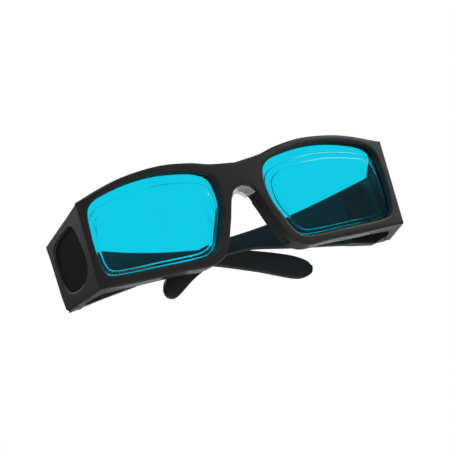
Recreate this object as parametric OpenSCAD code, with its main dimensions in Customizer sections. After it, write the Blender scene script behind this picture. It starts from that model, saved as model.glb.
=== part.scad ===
// Wraparound laser safety glasses, folded as they lie when put away.
// Upright as worn: +Z up, -Y forward through the lenses, +X to the wearer's left.

/* [Front] */
// Width of the front, corner to corner of the two side shields
front_width = 150; // [140:1:160]
// Height of the rims' upper edge above the lens middle
brow_height = 24; // [22:0.5:27]
// Depth of the lower edge below the lens middle
lower_edge = 22.4; // [20:0.4:25]
// Depth of the rims, front to back
rim_depth = 9.5; // [8:0.5:11]
// Radius that the front is wrapped to, seen from above
wrap_radius = 515; // [400:5:700]
// Half the gap between the lens openings, at the middle of the nose
lens_gap_half = 11.2; // [10:0.2:13]
// Width of the rim beside the lens, at the shield
side_rim = 3.3; // [3:0.1:5]

/* [Lenses] */
// How far the lens face sits behind the rim's front
lens_recess = 3.8; // [3.4:0.2:4.6]
// Depth of each of the two steps in the front face of the lens
lens_step = 0.8; // [0.5:0.1:0.9]
// Thickness of the lens flange in its groove
flange_thickness = 2; // [1.6:0.1:2.4]
// How far the flange reaches into the groove
flange_reach = 1.2; // [0.8:0.1:1.6]
// Thickness of the lip that holds the lens from behind
rear_lip = 0.9; // [0.7:0.1:1.2]
// Play between the flange and its groove
lens_play = 0.05; // [0.02:0.01:0.1]

/* [Side shields] */
// How far back the shields reach at the top
shield_depth = 33.2; // [30:0.4:38]
// Outward flare of the shields over their whole depth
shield_flare = 6.3; // [5:0.1:7.5]
// Shield wall at its rear end
shield_wall = 3; // [2.6:0.1:3.4]
// Depth of the scooped recess in the outer face
scoop_depth = 1; // [0.6:0.1:1.1]

/* [Temples] */
// Length of each temple from hinge pin to tip
temple_length = 121.4; // [118:0.2:124]
// Thickness of each temple at the hinge
temple_thick = 4; // [3.8:0.1:4.4]
// Thickness of each temple at the tip
tip_thick = 2.8; // [2.4:0.1:3]
// Outward bow of each temple
temple_bow = 6; // [5.6:0.1:6.6]
// Inward curl of each tip
tip_curl = 8.1; // [7.6:0.1:8.4]
// Fold angle of the outer temple, on the viewer's left, from the front's line
outer_fold = 5.9; // [5.9:0.1:8]
// Fold angle of the inner temple, below zero as its tip lies toward the lens
inner_fold = -7.3; // [-7.4:0.1:-6.4]

/* [Hinges] */
// How far each hinge pin stands outside the front's half width
hinge_outset = 2; // [1.6:0.1:2.4]
// How far each hinge pin stands ahead of the shield's rear end
hinge_inset = 0.4; // [0.2:0.1:0.8]
// Outer radius of the hinge knuckles
knuckle_radius = 1.6; // [1.4:0.1:1.7]
// Radius of the hinge screw's shank
screw_radius = 0.7; // [0.5:0.05:0.8]
// Running clearance of the screw in the knuckles
screw_clearance = 0.05; // [0.03:0.01:0.08]
// Height of one of the five knuckles
knuckle_height = 2.4; // [2:0.1:2.8]
// Gap between neighbouring knuckles
knuckle_gap = 0.08; // [0.05:0.01:0.15]
// Thickness of each hinge leaf
leaf_thick = 0.8; // [0.6:0.1:1]
// Radius of each rivet's shank
rivet_radius = 0.8; // [0.6:0.05:1]

/* [Nose] */
// How far the nose pads reach behind the rims
pad_reach = 3.5; // [3:0.5:5]
// Thickness of the clear saddle at its crown
saddle_thick = 0.9; // [0.7:0.1:1.2]

/* [Hidden] */
$fn = 96;
mirrored = [1, -1];
half_width = front_width / 2;
hinge_side = half_width + hinge_outset;
hinge_back = shield_depth - hinge_inset;
wrap_back = half_width * half_width / (2 * wrap_radius);
lens_front = wrap_radius - lens_recess;
flange_back = lens_front - flange_thickness;
frame_back = wrap_radius - rim_depth;
shield_front = wrap_back;
shield_run = shield_depth - shield_front;
shield_top_front = 16.1;
shield_top_rear = 5.2;
shield_low_front = -lower_edge + 0.7;
shield_low_rear = -lower_edge - 1.7;
rear_low_back = shield_depth - 1.2;
hinge_middle = -9.4;
barrel_height = 5 * knuckle_height;
barrel_low = hinge_middle - barrel_height / 2;
butt_start = 1.3;
leaf_seat = 13.6;
nose_crown = 8.6;
beyond = 60;
saddle_low = 4.4;
outer_offset = knuckle_radius + temple_thick;

// Point on a smooth closed curve through p, at t from 0 to len(p).
function wrap_point(p, i) = p[(i + len(p)) % len(p)];
function spline_at(a, b, c, d, t) = 0.5 * (2 * b + (c - a) * t
    + (2 * a - 5 * b + 4 * c - d) * t * t
    + (3 * b - a - 3 * c + d) * t * t * t);
function closed_curve(p, n) = [for (i = [0 : len(p) - 1]) for (k = [0 : n - 1])
    spline_at(wrap_point(p, i - 1), p[i], wrap_point(p, i + 1), wrap_point(p, i + 2), k / n)];
// Smooth open curve through p, ends included.
function end_point(p, i) = i < 0 ? 2 * p[0] - p[1]
    : i > len(p) - 1 ? 2 * p[len(p) - 1] - p[len(p) - 2] : p[i];
function open_curve(p, n) = concat([for (i = [0 : len(p) - 2]) for (k = [0 : n - 1])
    spline_at(end_point(p, i - 1), p[i], p[i + 1], end_point(p, i + 2), k / n)],
    [p[len(p) - 1]]);
// Closed curve p, run anticlockwise, grown outward by d.
function unit2(v) = v / norm(v);
function grown(p, d) = [for (i = [0 : len(p) - 1])
    let (t = unit2(wrap_point(p, i + 1) - wrap_point(p, i - 1))) p[i] + d * [t[1], -t[0]]];
// Closed curve p fitted to a smaller box: nose, low, side and top are the margins left round it.
function shrunk(p, nose, low, side, top) =
    let (a = [min([for (q = p) q[0]]), min([for (q = p) q[1]])],
    b = [max([for (q = p) q[0]]), max([for (q = p) q[1]])],
    k = [(b[0] - a[0] - nose - side) / (b[0] - a[0]), (b[1] - a[1] - low - top) / (b[1] - a[1])])
    [for (q = p) [a[0] + nose + (q[0] - a[0]) * k[0], a[1] + low + (q[1] - a[1]) * k[1]]];
function mirror_x(p) = [for (i = [len(p) - 1 : -1 : 0]) [-p[i][0], p[i][1]]];

// Upper edge, from the middle out to the shield corner.
brow_edge = open_curve([[0, brow_height - 5.1], [12, brow_height - 3.7], [21, brow_height - 1.5],
    [0.46 * half_width, brow_height], [0.667 * half_width, brow_height - 1.1],
    [0.827 * half_width, brow_height - 3.7], [half_width, shield_top_front]], 5);
// Lower edge and nose gap, from the shield corner in to the nose arch.
nose_edge = concat([[half_width, shield_low_front], [0.72 * half_width, -lower_edge]],
    open_curve([[0.453 * half_width, -lower_edge], [26.4, -lower_edge - 0.4],
    [20.8, -lower_edge + 0.5], [15.2, -17.8], [10, -6.4], [6.4, 3.6], [3.9, 7.3], [0, nose_crown]], 5));
half_front = concat(brow_edge, nose_edge);
full_front = concat(half_front, mirror_x(half_front));
// Lens opening, anticlockwise: share of the lens width from the nose, then height.
lens_width = half_width - side_rim - lens_gap_half;
upper = brow_height / 24;
lower = lower_edge / 22.4;
opening_edge = closed_curve([for (p = [[0.998, 2.6], [0.982, 11.2], [0.916, 15.4], [0.767, 18.3],
    [0.592, 20.2], [0.418, 20.7], [0.245, 19.7], [0.104, 17.8], [0.017, 14], [0, 6.6],
    [0.021, -1], [0.068, -7.6], [0.117, -14.2], [0.185, -17.8], [0.307, -18.6], [0.544, -18.3],
    [0.807, -18], [0.945, -16.9], [0.988, -12.6], [1, -4.4]])
    [lens_gap_half + p[0] * lens_width, p[1] * (p[1] > 0 ? upper : lower)]], 4);

// Temple seen from the side: height of its upper and lower edge at u behind the pin.
temple_top = [[0, 5.5], [19.3, 1], [38.5, -2.9], [57.8, -5.7], [75.2, -7.6], [88.6, -9.8],
    [101.2, -13.9], [109.6, -17.2], [115.4, -20.1], [119.8, -23.6], [121.4, -27]];
temple_low = [[121.4, -27], [120.4, -29.4], [117.2, -30.5], [112.8, -29.6], [101.2, -23.8],
    [94.4, -20.9], [88.6, -18.6], [82, -16.3], [75.2, -14.8], [66, -14.4], [57.8, -14.8],
    [38.5, -17.8], [19.3, -20.6], [0, -23.9]];
temple_side = [for (p = concat(open_curve(temple_top, 4), open_curve(temple_low, 4)))
    [p[0] * temple_length / temple_top[len(temple_top) - 1][0], p[1]]];
// Outer face of the temple, seen from above, measured outward from the pin.
function curl(u) = tip_curl * pow(max(0, u - temple_length + 50) / 50, 2);
function outer_face(u) = outer_offset + temple_bow * sin(180 * u / temple_length) - curl(u);
function thick_at(u) = temple_thick + (tip_thick - temple_thick) * u / temple_length;
temple_plan = concat([for (i = [0 : 32]) let (u = butt_start + i * (temple_length + 2) / 32)
    [u, outer_face(u)]], [for (i = [32 : -1 : 4]) let (u = butt_start + i * (temple_length + 2) / 32)
    [u, outer_face(u) - thick_at(u)]], [[leaf_seat, knuckle_radius], [butt_start, knuckle_radius]]);

// Box that the folded glasses fill, front to back and bottom to top.
rear_most = max([for (u = [60 : 1 : temple_length])
    hinge_back + u * sin(outer_fold) + outer_face(u) * cos(outer_fold)]);
low_most = min([for (p = temple_side) p[1]]);
mid_y = rear_most / 2;
mid_z = (brow_height + low_most) / 2;

// Everything is built from the bridge's front, then set on the middle of its box.
module placed() {
    translate([0, -mid_y, -mid_z])
        children();
}

// Solid of an X-Z outline between two depths behind the bridge.
module upright(outline, from_y, to_y) {
    translate([0, to_y, 0])
        rotate([90, 0, 0])
            linear_extrude(to_y - from_y)
                polygon(outline);
}

// Wall wrapped round the wearer's side, between two radii of the wrap.
module wrapped(outer, inner) {
    translate([0, wrap_radius, -beyond])
        difference() {
            cylinder(r = outer, h = 2 * beyond, $fn = 360);
            translate([0, 0, -1])
                cylinder(r = inner, h = 2 * beyond + 2, $fn = 360);
        }
}

module wrapped_slice(outline, outer, inner) {
    intersection() {
        upright(outline, -1, 26);
        wrapped(outer, inner);
    }
}

// Puts a piece drawn for the wearer's left on the wearer's right too.
module on_side(s) {
    if (s > 0)
        children();
    else
        mirror([1, 0, 0])
            children();
}

// Seen from above: outer face, rear end and inner face of one side shield.
shield_rear_x = half_width + shield_flare;
shield_plan = [[half_width - 14, wrap_back - 1.5], [half_width - 1.2, shield_front - 0.1],
    [half_width - 0.3, shield_front + 0.3], [half_width + 0.1, shield_front + 1.2],
    [shield_rear_x, shield_depth + 0.6], [shield_rear_x - shield_wall, shield_depth + 0.6],
    [half_width - 2.2, 17], [half_width - 3.4, 14.6], [half_width - 5.6, 13.2],
    [half_width - 9, 12.6], [half_width - 14, 12.8]];
// Seen from the side: the shield's outline, Y then Z.
shield_side = concat([[shield_front - 2, shield_top_front + 0.7]],
    open_curve([[shield_front, shield_top_front], [14, 12.6], [24, 8.7],
    [shield_depth, shield_top_rear]], 3),
    [[shield_depth, shield_top_rear - 1.6], [shield_depth - 0.6, -2],
    [rear_low_back, -18], [rear_low_back - 0.6, shield_low_rear + 1],
    [rear_low_back - 2, shield_low_rear]],
    [[shield_front - 2, shield_low_front + 0.2]]);
// Recess scooped in the outer face, Y then Z.
scoop_edge = closed_curve([[13.6, 8.2], [18.7, 7.2], [24.7, 4.9], [28.2, 2.1], [29.4, -2.6],
    [29.3, -8.2], [28.2, -13.6], [25.6, -17.3], [19.9, -17.9], [13.6, -15.8], [10.4, -12.6],
    [9.2, -8], [9.4, -3.9], [10.2, 0.5], [11.2, 5]], 4);

module sideways(outline, from_x, to_x) {
    translate([from_x, 0, 0])
        rotate([90, 0, 90])
            linear_extrude(to_x - from_x)
                polygon(outline);
}

module shield() {
    intersection() {
        translate([0, 0, -40])
            linear_extrude(80)
                polygon(shield_plan);
        sideways(shield_side, half_width - 20, half_width + 20);
    }
}

// Recess cutter: a slab parallel to the outer face, cut to the recess outline.
flare_angle = atan(shield_flare / shield_run);
module scoop() {
    intersection() {
        translate([half_width - scoop_depth, shield_front, 0])
            rotate([0, 0, -flare_angle])
                translate([0, -20, -40])
                    cube([8, 80, 80]);
        sideways(scoop_edge, half_width - 20, half_width + 20);
    }
}

// Turned with the shield about the hinge pin on the wearer's left.
module with_flare() {
    translate([hinge_side, hinge_back, 0])
        rotate([0, 0, -flare_angle])
            children();
}

// Housing moulded on the shield's rear inside: it hides the knuckles and holds the frame's leaf.
housing_rear = hinge_back - 0.4;
housing_plan = [[hinge_side, shield_depth - 10.2], [hinge_side + 1.4, shield_depth - 9.6],
    [hinge_side + 2.4, shield_depth - 5.4], [hinge_side + 1.4, housing_rear],
    [hinge_side - 3.2, housing_rear], [hinge_side - 3.4, housing_rear - 0.4],
    [hinge_side - 3.4, shield_depth - 7], [hinge_side - 2.6, shield_depth - 9]];
// Seen from the side: its sloping lower edge runs on to the rear, square with the temple's.
housing_side = [[shield_depth - 12, shield_low_rear + 0.9], [shield_depth, shield_low_rear + 0.05],
    [shield_depth, beyond], [shield_depth - 12, beyond]];
module hinge_housing() {
    intersection() {
        translate([0, 0, -beyond])
            linear_extrude(beyond + shield_top_rear - 0.6)
                polygon(housing_plan);
        sideways(housing_side, half_width - 20, half_width + 20);
    }
}

// Pad moulded behind the flank of the nose gap.
flank_low = [16.6, -19.5];
flank_high = [7.4, 1.8];
flank_run = norm(flank_high - flank_low);
flank_turn = atan2(flank_low[0] - flank_high[0], flank_high[1] - flank_low[1]);
module nose_pad() {
    translate([flank_low[0], 0, flank_low[1]])
        rotate([0, -flank_turn, 0])
            intersection() {
                linear_extrude(flank_run)
                    polygon([[-0.8, 5], [2.6, 5], [2.6, rim_depth], [2.9, rim_depth + pad_reach - 0.6],
                        [2.3, rim_depth + pad_reach], [1.2, rim_depth + pad_reach - 0.2],
                        [0, rim_depth + 1], [-0.6, rim_depth - 2]]);
                translate([-10, rim_depth - 4, flank_run / 2])
                    rotate([0, 90, 0])
                        cylinder(r = flank_run / 2 + 1.4, h = 30);
            }
}

// Cutter that lets the rim's upper edge fall away into the shield's sloping top.
fall_back = wrap_back + rim_depth;
fall_a = [half_width, wrap_back, shield_top_front];
fall_b = [half_width, fall_back, shield_top_front - 0.42 * rim_depth];
fall_c = [half_width - 15, fall_back, shield_top_front + 4.6];
fall_normal = cross(fall_b - fall_a, fall_c - fall_b) / norm(cross(fall_b - fall_a, fall_c - fall_b));
module corner_fall() {
    translate(fall_a)
        rotate([0, acos(fall_normal[2]), atan2(fall_normal[1], fall_normal[0])])
            translate([-beyond / 2, -beyond / 2, 0])
                cube([beyond, beyond, beyond / 2]);
}

// The arch of the nose gap from side to side, and copies of it moved in by d.
arch_half = [for (p = nose_edge) if (p[1] > saddle_low) p];
arch = concat(arch_half, [for (i = [len(arch_half) - 2 : -1 : 0]) [-arch_half[i][0], arch_half[i][1]]]);
function arch_in(d, more) = [for (i = [0 : len(arch) - 1])
    let (t = unit2(arch[min(i + 1, len(arch) - 1)] - arch[max(i - 1, 0)]),
    k = (arch[i][1] - saddle_low) / (nose_crown - saddle_low)) arch[i] - (d + more * (0.5 + 0.5 * k)) * [t[1], -t[0]]];

module front_frame() {
    color([0.06, 0.06, 0.065])
        placed()
            difference() {
                union() {
                    difference() {
                        wrapped_slice(full_front, wrap_radius, frame_back);
                        for (s = mirrored)
                            on_side(s)
                                corner_fall();
                    }
                    for (s = mirrored)
                        on_side(s) {
                            shield();
                            nose_pad();
                            hinge_housing();
                        }
                }
                for (s = mirrored)
                    on_side(s) {
                        upright(opening_edge, -2, 22);
                        wrapped_slice(grown(opening_edge, 1.5), flange_back - rear_lip, frame_back - 3);
                        wrapped_slice(grown(opening_edge, flange_reach + lens_play),
                            lens_front + lens_play, flange_back - lens_play);
                        scoop();
                        frame_leaf_pocket();
                        rivet_holes_frame();
                    }
                upright(saddle_slot(lens_play), 2.5 - lens_play, rim_depth + 1);
            }
}

module lens() {
    wrapped_slice(grown(opening_edge, flange_reach), lens_front, flange_back);
    wrapped_slice(shrunk(opening_edge, 1.2, 1, 0.9, 4.2), lens_front + lens_step, flange_back - 0.3);
    wrapped_slice(shrunk(opening_edge, 3.6, 2.5, 2.4, 7), lens_front + 2 * lens_step,
        flange_back + 0.4);
}

module lens_left() {
    color([0, 0.8, 0.9])
        placed()
            on_side(-1)
                lens();
}

module lens_right() {
    color([0, 0.8, 0.9])
        placed()
            on_side(1)
                lens();
}

// Clear saddle under the bridge, held by a dovetail rib in a slot.
function saddle_slot(play) = [[-1.1 - play, 7.6], [1.1 + play, 7.6], [1.1 + play, 9.2],
    [1.8 + play, 10.6 + play], [-1.8 - play, 10.6 + play], [-1.1 - play, 9.2]];

module nose_saddle() {
    color([0.85, 0.93, 0.93])
        placed() {
            upright(concat(arch_in(lens_play, 0),
                let (p = arch_in(lens_play, saddle_thick)) [for (i = [len(p) - 1 : -1 : 0]) p[i]]),
                1.6, rim_depth + 2.2);
            upright(saddle_slot(0), 2.5, rim_depth + 0.4);
        }
}

// Five knuckles on the pin: the frame carries the first, third and fifth.
module knuckles(list) {
    for (i = list)
        translate([0, 0, barrel_low + i * knuckle_height + knuckle_gap / 2])
            cylinder(r = knuckle_radius, h = knuckle_height - knuckle_gap);
}

module pin_bore() {
    translate([0, 0, barrel_low - 2])
        cylinder(r = screw_radius + screw_clearance, h = barrel_height + 4);
}

leaf_low = hinge_middle - 5.6;
leaf_height = 11.2;
rivet_rise = 3.2;
frame_rivet_back = -5;
frame_leaf_length = 6.2;
frame_grip = 0.4;
temple_grip = 1.3;
temple_rivet_back = 8.6;

module frame_leaf() {
    difference() {
        union() {
            knuckles([0, 2, 4]);
            translate([knuckle_radius, -frame_leaf_length - 1, leaf_low])
                cube([leaf_thick, frame_leaf_length, leaf_height]);
            for (i = [0, 2, 4])
                translate([0, -1.6, barrel_low + i * knuckle_height + knuckle_gap / 2])
                    cube([knuckle_radius + leaf_thick, 1.2, knuckle_height - knuckle_gap]);
        }
        pin_bore();
        for (k = [-1, 1])
            translate([0, frame_rivet_back, hinge_middle + k * rivet_rise])
                rotate([0, 90, 0])
                    cylinder(r = rivet_radius + 0.02, h = 6);
    }
}

module frame_leaf_pocket() {
    with_flare() {
        translate([knuckle_radius - 1, -frame_leaf_length - 1.05, barrel_low - 0.05])
            cube([leaf_thick + 1.02, frame_leaf_length + 4, barrel_height + 0.1]);
        translate([0, 0, barrel_low - 0.6])
            cylinder(r = knuckle_radius + 0.3, h = barrel_height + 1.8);
    }
}

// Holes for the shanks, and wider ones through which the rivets are set from inside.
module rivet_holes_frame() {
    with_flare()
        for (k = [-1, 1])
            translate([0, frame_rivet_back, hinge_middle + k * rivet_rise])
                rotate([0, 90, 0]) {
                    cylinder(r = rivet_radius + 0.02, h = knuckle_radius + leaf_thick + frame_grip);
                    translate([0, 0, -5])
                        cylinder(r = rivet_radius + 0.7, h = 5 + knuckle_radius - 0.9);
                }
}

// Rivets: a flat head on the leaf and a shank in the plastic.
module rivet_pair(back, grip) {
    for (k = [-1, 1])
        translate([0, back, hinge_middle + k * rivet_rise])
            rotate([0, 90, 0]) {
                translate([0, 0, knuckle_radius - 0.5])
                    cylinder(r = rivet_radius + 0.6, h = 0.48);
                translate([0, 0, knuckle_radius - 0.1])
                    cylinder(r = rivet_radius, h = leaf_thick + 0.08 + grip);
            }
}

// Hinge screw: slotted head above the top knuckle, shank through all five.
module hinge_screw() {
    difference() {
        union() {
            translate([0, 0, barrel_low - 0.3])
                cylinder(r = screw_radius, h = barrel_height + 0.4);
            translate([0, 0, barrel_low + barrel_height + 0.03])
                cylinder(r = knuckle_radius - 0.2, h = 0.8);
        }
        translate([-2, -0.2, barrel_low + barrel_height + 0.5])
            cube([4, 0.4, 1]);
    }
}

// Temple drawn open on the wearer's left: pin at the origin, +Y back, +X outward.
module temple_body() {
    difference() {
        intersection() {
            translate([0, 0, -50])
                linear_extrude(80)
                    polygon([for (p = temple_plan) [p[1], p[0]]]);
            sideways(temple_side, -20, 40);
        }
        translate([knuckle_radius - 1, -1, leaf_low - 0.05])
            cube([leaf_thick + 1.02, 13.05, leaf_height + 0.1]);
        for (k = [-1, 1])
            translate([0, temple_rivet_back, hinge_middle + k * rivet_rise])
                rotate([0, 90, 0])
                    cylinder(r = rivet_radius + 0.02, h = knuckle_radius + leaf_thick + temple_grip);
        translate([0, 0, barrel_low - 0.6])
            cylinder(r = knuckle_radius + 0.3, h = barrel_height + 1.8);
    }
}

module temple_leaf() {
    difference() {
        union() {
            knuckles([1, 3]);
            translate([knuckle_radius, 1, leaf_low])
                cube([leaf_thick, 11, leaf_height]);
            for (i = [1, 3])
                translate([0, 0.4, barrel_low + i * knuckle_height + knuckle_gap / 2])
                    cube([knuckle_radius + leaf_thick, 1.2, knuckle_height - knuckle_gap]);
        }
        pin_bore();
        for (k = [-1, 1])
            translate([0, temple_rivet_back, hinge_middle + k * rivet_rise])
                rotate([0, 90, 0])
                    cylinder(r = rivet_radius + 0.02, h = 6);
    }
}

// Sets a piece drawn about the pin on its side of the front, turned in by the fold.
module at_hinge(s, fold) {
    placed()
        on_side(s)
            translate([hinge_side, hinge_back, 0])
                rotate([0, 0, 90 - fold])
                    children();
}

module temple_left() {
    color([0.06, 0.06, 0.065])
        at_hinge(-1, outer_fold)
            temple_body();
}

module temple_right() {
    color([0.06, 0.06, 0.065])
        at_hinge(1, inner_fold)
            temple_body();
}

module frame_leaf_left() {
    color([0.7, 0.7, 0.72])
        at_hinge(-1, 90 + flare_angle)
            frame_leaf();
}

module frame_leaf_right() {
    color([0.7, 0.7, 0.72])
        at_hinge(1, 90 + flare_angle)
            frame_leaf();
}

module temple_leaf_left() {
    color([0.7, 0.7, 0.72])
        at_hinge(-1, outer_fold)
            temple_leaf();
}

module temple_leaf_right() {
    color([0.7, 0.7, 0.72])
        at_hinge(1, inner_fold)
            temple_leaf();
}

module hinge_screw_left() {
    color([0.6, 0.6, 0.62])
        at_hinge(-1, 90)
            hinge_screw();
}

module hinge_screw_right() {
    color([0.6, 0.6, 0.62])
        at_hinge(1, 90)
            hinge_screw();
}

module frame_rivets_left() {
    color([0.7, 0.7, 0.72])
        at_hinge(-1, 90 + flare_angle)
            rivet_pair(frame_rivet_back, frame_grip);
}

module frame_rivets_right() {
    color([0.7, 0.7, 0.72])
        at_hinge(1, 90 + flare_angle)
            rivet_pair(frame_rivet_back, frame_grip);
}

module temple_rivets_left() {
    color([0.7, 0.7, 0.72])
        at_hinge(-1, outer_fold)
            rivet_pair(temple_rivet_back, temple_grip);
}

module temple_rivets_right() {
    color([0.7, 0.7, 0.72])
        at_hinge(1, inner_fold)
            rivet_pair(temple_rivet_back, temple_grip);
}

front_frame();
lens_left();
lens_right();
nose_saddle();
temple_left();
temple_right();
frame_leaf_left();
frame_leaf_right();
temple_leaf_left();
temple_leaf_right();
hinge_screw_left();
hinge_screw_right();
frame_rivets_left();
frame_rivets_right();
temple_rivets_left();
temple_rivets_right();
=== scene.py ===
import bpy
import math
from mathutils import Matrix, Vector


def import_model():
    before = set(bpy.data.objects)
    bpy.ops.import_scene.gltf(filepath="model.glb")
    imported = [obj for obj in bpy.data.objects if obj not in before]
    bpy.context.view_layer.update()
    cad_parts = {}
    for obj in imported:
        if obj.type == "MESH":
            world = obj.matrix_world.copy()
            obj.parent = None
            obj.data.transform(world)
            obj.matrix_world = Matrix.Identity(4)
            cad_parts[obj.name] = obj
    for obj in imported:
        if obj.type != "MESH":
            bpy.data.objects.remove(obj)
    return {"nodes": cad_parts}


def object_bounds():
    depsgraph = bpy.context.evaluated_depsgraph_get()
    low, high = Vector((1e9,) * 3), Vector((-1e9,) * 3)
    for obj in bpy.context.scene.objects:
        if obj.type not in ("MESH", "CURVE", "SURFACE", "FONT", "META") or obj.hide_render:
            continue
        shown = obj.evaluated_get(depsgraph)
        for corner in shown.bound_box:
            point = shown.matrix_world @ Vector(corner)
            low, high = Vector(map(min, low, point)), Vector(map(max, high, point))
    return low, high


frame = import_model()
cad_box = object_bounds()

nodes = frame["nodes"]
scene = bpy.context.scene


# ---------------------------------------------------------------- materials
class Mat:
    """A material with its shader and a few shorthands for wiring nodes."""

    def __init__(self, name):
        self.m = bpy.data.materials.new(name)
        self.m.use_nodes = True
        self.t = self.m.node_tree
        self.b = self.t.nodes["Principled BSDF"]
        self.coord = self.t.nodes.new("ShaderNodeTexCoord").outputs["Object"]

    def put(self, **values):
        for key, value in values.items():
            self.b.inputs[key.replace("_", " ")].default_value = value

    def noise(self, scale, detail=3.0, rough=0.5):
        n = self.t.nodes.new("ShaderNodeTexNoise")
        n.inputs["Scale"].default_value = scale
        n.inputs["Detail"].default_value = detail
        n.inputs["Roughness"].default_value = rough
        self.t.links.new(self.coord, n.inputs["Vector"])
        return n.outputs["Fac"]

    def ramp(self, fac, low, high, a, b):
        r = self.t.nodes.new("ShaderNodeMapRange")
        r.inputs["From Min"].default_value = low
        r.inputs["From Max"].default_value = high
        r.inputs["To Min"].default_value = a
        r.inputs["To Max"].default_value = b
        self.t.links.new(fac, r.inputs["Value"])
        return r.outputs["Result"]

    def mix(self, fac, a, b):
        r = self.t.nodes.new("ShaderNodeMix")
        r.data_type = "RGBA"
        r.inputs[6].default_value = (*a, 1)
        r.inputs[7].default_value = (*b, 1)
        self.t.links.new(fac, r.inputs[0])
        return r.outputs[2]

    def to(self, output, socket):
        self.t.links.new(output, self.b.inputs[socket])

    def bump(self, heights, strength, distance):
        """Bump from several heights, each (output, weight)."""
        total = None
        for out, weight in heights:
            k = self.t.nodes.new("ShaderNodeMath")
            k.operation = "MULTIPLY"
            k.inputs[1].default_value = weight
            self.t.links.new(out, k.inputs[0])
            if total is None:
                total = k.outputs[0]
            else:
                s = self.t.nodes.new("ShaderNodeMath")
                s.operation = "ADD"
                self.t.links.new(total, s.inputs[0])
                self.t.links.new(k.outputs[0], s.inputs[1])
                total = s.outputs[0]
        n = self.t.nodes.new("ShaderNodeBump")
        n.inputs["Strength"].default_value = strength
        n.inputs["Distance"].default_value = distance
        self.t.links.new(total, n.inputs["Height"])
        self.t.links.new(n.outputs["Normal"], self.b.inputs["Normal"])


def black_nylon(name, matt_and_shade):
    """Black moulding: fine spark-eroded grain, faint flow cloudiness.

    The matt share is 0 for the satin surface, more for a duller one; it also lowers the
    specular level, which paints shade onto that surface.
    """
    k = Mat(name)
    grain = k.noise(2600, 2.0, 0.6)
    cloud = k.noise(60, 3.0, 0.5)
    dark, light = (0.0110, 0.0106, 0.0100), (0.0150, 0.0145, 0.0138)
    k.to(k.mix(cloud, dark, light), "Base Color")
    k.to(k.ramp(grain, 0.3, 0.7, 0.40 + matt_and_shade, 0.50 + matt_and_shade), "Roughness")
    # lowering the specular level with the matt share paints shade, not only a duller grain
    k.put(Specular_IOR_Level=0.5 - 2.2 * matt_and_shade)
    k.bump([(grain, 1.0), (cloud, 0.5)], 0.35, 0.00006)
    return k.m


def lens_plastic():
    """Cyan filter lens: clear polished plastic, dyed through."""
    k = Mat("lens_plastic")
    flow = k.noise(35, 2.0, 0.5)
    k.to(k.mix(flow, (0.0, 0.600, 0.800), (0.0, 0.625, 0.825)), "Base Color")
    k.to(k.ramp(flow, 0.3, 0.7, 0.0010, 0.0025), "Roughness")
    k.put(IOR=1.4, Transmission_Weight=1.0)
    k.bump([(flow, 1.0)], 0.02, 0.0002)
    return k.m


def clear_vinyl():
    """Soft clear vinyl of the nose saddle."""
    k = Mat("clear_vinyl")
    flow = k.noise(300, 2.0, 0.5)
    k.to(k.mix(flow, (0.86, 0.89, 0.90), (0.92, 0.94, 0.95)), "Base Color")
    k.to(k.ramp(flow, 0.3, 0.7, 0.08, 0.16), "Roughness")
    k.put(IOR=1.12, Transmission_Weight=0.65)
    k.bump([(flow, 1.0)], 0.1, 0.0001)
    return k.m


def blackened_steel():
    """Blackened steel of the hinges, drawn along the leaf."""
    k = Mat("blackened_steel")
    streak = k.noise(900, 4.0, 0.7)
    spot = k.noise(250, 2.0, 0.5)
    k.to(k.mix(spot, (0.115, 0.112, 0.108), (0.150, 0.146, 0.140)), "Base Color")
    k.to(k.ramp(streak, 0.3, 0.7, 0.42, 0.58), "Roughness")
    k.put(Metallic=1.0)
    k.bump([(streak, 1.0)], 0.2, 0.00004)
    return k.m


# ---------------------------------------------------------------- edges
SAME_POINT = 2e-6
SLIVER = 4e-5
FRAME_ROUND = 0.0011
TEMPLE_ROUND = 0.0008
LENS_ROUND = 0.0003
WRAP_RADIUS = 0.515        # of the front's outer face
FRONT_END_X = 0.0738       # where the front's outline meets its upright ends
SHIELD_X = 0.0752          # inner limit of the shields' outer faces
SHIELD_FROM_FRONT = 0.007
PIN_X = 0.077              # hinge pins
POCKET_REACH = 0.016       # hinge pocket of a temple, from the pin
# floor of the shields' recess: OUT * |x| - BACK * y = AWAY
RECESS_OUT, RECESS_BACK, RECESS_AWAY = 0.975, 0.2215, 0.0767


def sharp_pairs(o, least=math.radians(40)):
    """Edges where two CAD faces meet: (edge indices, middle, both normals)."""
    mesh = o.data
    owner = {}
    for face in mesh.polygons:
        for key in face.edge_keys:
            owner.setdefault(key, []).append(face.normal.copy())
    places = {}
    for edge in mesh.edges:
        faces = owner.get(edge.key, [])
        if len(faces) == 1:
            a, b = (mesh.vertices[v].co for v in edge.vertices)
            middle = (a + b) / 2
            place = tuple(round(v * 2e5) for v in middle)
            places.setdefault(place, []).append((edge.index, middle, faces[0]))
    for found in places.values():
        if len(found) == 2 and found[0][2].angle(found[1][2], 0) > least:
            yield [f[0] for f in found], found[0][1], found[0][2], found[1][2]


def soften(o, width, choose, segments=3, slivers=False):
    """Rounds the chosen edges of a CAD node by a share of width.

    With slivers, the thin CAD triangles beside those edges are joined first.
    """
    weights = o.data.attributes.new("bevel_weight_edge", "FLOAT", "EDGE")
    for edges, middle, n1, n2 in sharp_pairs(o):
        for e in edges:
            weights.data[e].value = choose(middle, n1, n2)
    o.data.shade_smooth()
    weld = o.modifiers.new("weld", "WELD")
    weld.merge_threshold = SLIVER if slivers else SAME_POINT
    if slivers:
        flat = o.modifiers.new("flat", "DECIMATE")
        flat.decimate_type = "DISSOLVE"
        flat.angle_limit = math.radians(0.6)
    bevel = o.modifiers.new("edge", "BEVEL")
    bevel.width = width
    bevel.segments = segments
    bevel.limit_method = "WEIGHT"
    bevel.use_clamp_overlap = False
    split = o.modifiers.new("split", "EDGE_SPLIT")
    split.split_angle = math.radians(32)
    even = o.modifiers.new("even", "WEIGHTED_NORMAL")
    even.weight = 80


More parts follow.
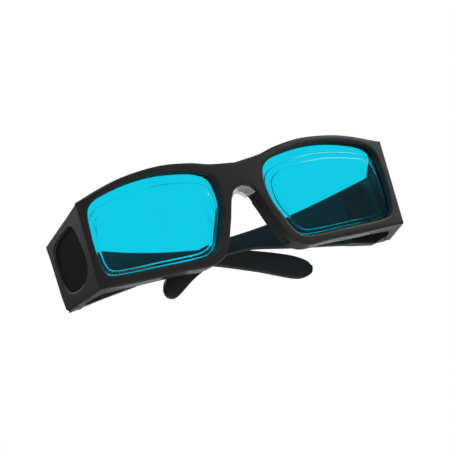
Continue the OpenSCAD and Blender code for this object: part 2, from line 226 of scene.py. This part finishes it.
def dress(names, material):
    for name in names:
        nodes[name].data.materials.clear()
        nodes[name].data.materials.append(material)


black = black_nylon("black_nylon", 0)
lens = lens_plastic()
vinyl = clear_vinyl()
steel = blackened_steel()
dress(["front_frame", "temple_left", "temple_right"], black)
dress(["lens_left", "lens_right"], lens)
dress(["nose_saddle"], vinyl)
dress([n for n in nodes if "leaf" in n or "screw" in n or "rivets" in n], steel)


wrap_middle = Vector((0, cad_box[0][1] + WRAP_RADIUS))


def frame_edge(p, n1, n2):
    """Front outline and lens openings fully, upright ends and shields less."""
    outer = max(n1.x * math.copysign(1, p.x), n2.x * math.copysign(1, p.x))
    if abs((p.xy - wrap_middle).length - WRAP_RADIUS) < 3e-5:
        if abs(p.x) < FRONT_END_X:
            return 1.0
        return 0.7 if outer > 0.95 else 0.0
    behind_front = p.y > cad_box[0][1] + SHIELD_FROM_FRONT
    if outer > 0.95 and abs(p.x) > SHIELD_X and behind_front:
        return 0.4
    return 0.0


def temple_edge(p, n1, n2):
    """The outline of the blade, clear of the hinge pocket."""
    return 1.0 if abs(p.x) < PIN_X - POCKET_REACH else 0.0


def lens_edge(p, n1, n2):
    """Steps of the front face fully, those of the back less."""
    return 1.0 if min(n1.y, n2.y) < -0.7 else 0.3


def recess_grain_and_painted_shade(o, material):
    """The floor of the recess in each shield has the coarser grain, and a lowered specular
    level as painted shade.
    """
    o.data.materials.append(material)
    for face in o.data.polygons:
        away = math.copysign(1, face.center.x)
        c = face.center
        depth = RECESS_AWAY - RECESS_OUT * away * c.x + RECESS_BACK * c.y
        if away * face.normal.x > 0.95 and abs(depth) < 0.0002:
            face.material_index = 1


# the recess floors get a darker copy of the nylon: coarser grain, and a lowered specular
# level as painted shade
recess_grain_and_painted_shade(nodes["front_frame"], black_nylon("black_recess_grain_and_painted_shade", 0.2))
soften(nodes["front_frame"], FRAME_ROUND, frame_edge, slivers=True)
for name in ("temple_left", "temple_right"):
    soften(nodes[name], TEMPLE_ROUND, temple_edge)
for name in ("lens_left", "lens_right"):
    soften(nodes[name], LENS_ROUND, lens_edge, 2)


# ---------------------------------------------------------------- stage
FLOOR_Z = -0.40
PAST_LENS = 0.4            # backdrop that reaches the temples through a lens


def backdrop_rays(t, path):
    """1 for rays straight from the camera or through the lenses, less for those
    that leave through a lens after a reflection behind it, else 0."""
    direct = t.nodes.new("ShaderNodeMapRange")
    direct.inputs["From Max"].default_value = 1
    direct.inputs["To Min"].default_value = 1
    direct.inputs["To Max"].default_value = PAST_LENS
    t.links.new(path.outputs["Glossy Depth"], direct.inputs["Value"])
    through = t.nodes.new("ShaderNodeMath")
    through.operation = "MULTIPLY"
    t.links.new(path.outputs["Is Transmission Ray"], through.inputs[0])
    t.links.new(direct.outputs[0], through.inputs[1])
    seen = t.nodes.new("ShaderNodeMath")
    seen.operation = "MAXIMUM"
    t.links.new(path.outputs["Is Camera Ray"], seen.inputs[0])
    t.links.new(through.outputs[0], seen.inputs[1])
    return seen.outputs[0]


def floor():
    bpy.ops.mesh.primitive_plane_add(size=8, location=(0, 0, FLOOR_Z))
    o = bpy.context.object
    o.name = "floor"
    m = bpy.data.materials.new("floor_white")
    m.use_nodes = True
    t = m.node_tree
    shader = t.nodes["Principled BSDF"]
    shader.inputs["Base Color"].default_value = (0.86, 0.86, 0.86, 1)
    shader.inputs["Roughness"].default_value = 0.9
    shader.inputs["Emission Color"].default_value = (1, 1, 1, 1)
    path = t.nodes.new("ShaderNodeLightPath")
    pale = t.nodes.new("ShaderNodeMath")
    pale.operation = "MULTIPLY"
    pale.inputs[1].default_value = 0.75
    t.links.new(backdrop_rays(t, path), pale.inputs[0])
    t.links.new(pale.outputs[0], shader.inputs["Emission Strength"])
    o.data.materials.append(m)


def world():
    w = bpy.data.worlds.new("studio")
    scene.world = w
    w.use_nodes = True
    t = w.node_tree
    t.nodes.clear()
    path = t.nodes.new("ShaderNodeLightPath")
    white = t.nodes.new("ShaderNodeBackground")
    white.inputs["Color"].default_value = (1, 1, 1, 1)
    white.inputs["Strength"].default_value = 1.0
    soft = t.nodes.new("ShaderNodeBackground")
    soft.inputs["Color"].default_value = (1, 1, 1, 1)
    soft.inputs["Strength"].default_value = 0.05
    mirrored = t.nodes.new("ShaderNodeMath")
    mirrored.operation = "MULTIPLY"
    t.links.new(path.outputs["Is Glossy Ray"], mirrored.inputs[0])
    t.links.new(path.outputs["Is Singular Ray"], mirrored.inputs[1])
    faint = t.nodes.new("ShaderNodeMath")
    faint.operation = "MULTIPLY_ADD"
    faint.inputs[1].default_value = 0.16
    t.links.new(mirrored.outputs[0], faint.inputs[0])
    t.links.new(backdrop_rays(t, path), faint.inputs[2])
    both = t.nodes.new("ShaderNodeMixShader")
    out = t.nodes.new("ShaderNodeOutputWorld")
    t.links.new(faint.outputs[0], both.inputs[0])
    t.links.new(soft.outputs[0], both.inputs[1])
    t.links.new(white.outputs[0], both.inputs[2])
    t.links.new(both.outputs[0], out.inputs["Surface"])


def softbox(name, place, aim, size, watts):
    light = bpy.data.lights.new(name, "AREA")
    light.shape = "RECTANGLE"
    light.size, light.size_y = size
    light.energy = watts
    o = bpy.data.objects.new(name, light)
    scene.collection.objects.link(o)
    o.visible_camera = False
    o.visible_transmission = False
    o.location = place
    o.rotation_euler = (Vector(aim) - Vector(place)).to_track_quat("-Z", "Y").to_euler()


def camera():
    data = bpy.data.cameras.new("camera")
    data.sensor_width = 36
    data.lens = 206.75
    data.clip_start = 0.05
    data.clip_end = 50
    o = bpy.data.objects.new("camera", data)
    scene.collection.objects.link(o)
    right = Vector((0.8685, -0.4107, -0.2777))
    up = Vector((0.1846, -0.2519, 0.9500))
    back = right.cross(up).normalized()
    up = back.cross(right.normalized())
    m = Matrix((right.normalized(), up, back)).transposed().to_4x4()
    m.translation = Vector((-0.51396, -0.97859, -0.15880))
    o.matrix_world = m
    scene.camera = o


floor()
world()
softbox("shield_key", (-0.20, 0.16, 0.10), (-0.08, 0, 0.01), (0.10, 0.10), 0.10)
softbox("shield_top", (-0.12, 0.06, 0.22), (-0.08, 0, 0), (0.12, 0.12), 0.20)
softbox("front_top", (-0.25, -0.45, 0.75), (0, 0, 0), (0.5, 0.3), 1.75)
softbox("front_low", (-0.10, -0.70, -0.15), (0, 0, 0), (0.5, 0.2), 0.33)
softbox("right_side", (0.34, -0.22, 0.22), (0.04, 0, 0), (0.2, 0.2), 0.74)
softbox("table_glow", (0.05, -0.05, -0.19), (0, 0, 0), (0.7, 0.5), 0.2)
softbox("back_low", (0.46, 0.88, -0.135), (0, 0, 0), (0.5, 0.12), 0.75)
softbox("left_fill", (-0.90, -0.42, 0.22), (0, 0, 0), (0.4, 0.4), 0.9)
softbox("right_fill", (0.95, -0.35, 0.30), (0, 0, 0), (0.4, 0.4), 1.5)
softbox("back_fill", (-0.25, 0.90, 0.50), (0, 0, 0), (0.6, 0.4), 3)
camera()
scene.view_settings.view_transform = "Standard"
